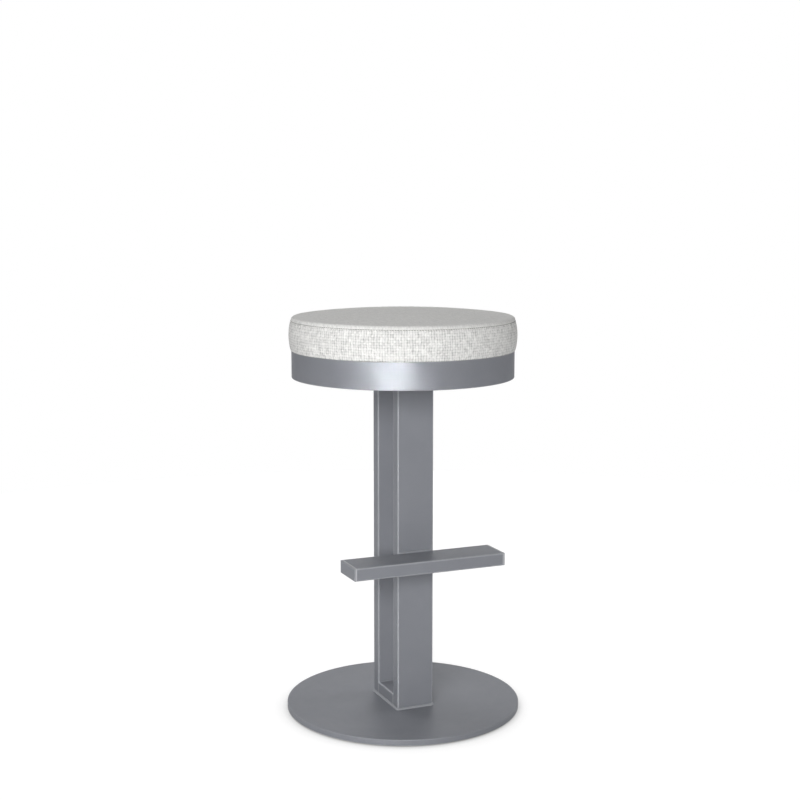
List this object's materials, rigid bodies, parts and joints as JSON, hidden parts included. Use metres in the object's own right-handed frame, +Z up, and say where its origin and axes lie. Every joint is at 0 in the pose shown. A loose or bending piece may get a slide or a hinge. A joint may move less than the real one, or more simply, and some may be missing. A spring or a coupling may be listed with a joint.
{
  "type": "swivel bar stool",
  "caption": "Backless bar stool: round crowned cushion on a ball-bearing swivel, an upright loop column of rectangular tube, a cross footrest and a round base plate.",
  "frame": {"origin": "on the floor, under the centre of the round base plate, on the swivel axis", "axes": "+Z up along the swivel axis, -Y towards the footrest at the front, +X to the right of a person who faces the stool's footrest"},
  "size_m": [0.47, 0.47, 0.808],
  "materials": {
    "frame_paint": "satin silver-grey metallic powder coat",
    "zinc_plate": "bright zinc plate",
    "bearing_steel": "polished hardened steel",
    "bearing_nylon": "natural nylon",
    "glide_nylon": "black nylon, matte",
    "board_plywood": "sanded birch plywood",
    "seat_foam": "open-cell upholstery foam",
    "woven_fabric": "heathered plain weave, matte"
  },
  "bodies": {
    "base": {"floor_glides": "glide_nylon", "base_plate": "frame_paint", "foot_weld": "frame_paint", "front_post": "frame_paint", "rear_post": "frame_paint", "foot_rail": "frame_paint", "head_rail": "frame_paint", "loop_welds": "frame_paint", "footrest_tube": "frame_paint", "footrest_end_caps": "frame_paint", "footrest_weld": "frame_paint", "mount_plate": "frame_paint", "head_weld": "frame_paint", "lower_race_plate": "zinc_plate", "lower_weld_nuts": "zinc_plate", "lower_bolts": "zinc_plate", "lower_washers": "zinc_plate", "pivot_rivet": "bearing_steel"},
    "cage": {"ball_cage": "bearing_nylon", "bearing_balls": "bearing_steel"},
    "seat": {"upper_race_plate": "zinc_plate", "upper_weld_nuts": "zinc_plate", "upper_screws": "zinc_plate", "pivot_bush": "bearing_nylon", "seat_pan": "frame_paint", "seat_band": "frame_paint", "pan_welds": "frame_paint", "seat_board": "board_plywood", "tee_nuts": "zinc_plate", "seat_screws": "zinc_plate", "foam_pad": "seat_foam", "cover_side": "woven_fabric", "cover_top": "woven_fabric", "cover_staples": "zinc_plate"}
  },
  "joints": [
    {"name": "seat_swivel", "type": "hinge", "parent": "base", "child": "seat", "pos_m": [0, 0, 0.7186], "axis": [0, 0, 1], "continuous": true},
    {"name": "cage_spin", "type": "hinge", "parent": "base", "child": "cage", "pos_m": [0, 0, 0.7186], "axis": [0, 0, 1], "continuous": true}
  ],
  "couplings": [
    {"joint": "cage_spin", "follows": "seat_swivel", "ratio": 0.5}
  ]
}
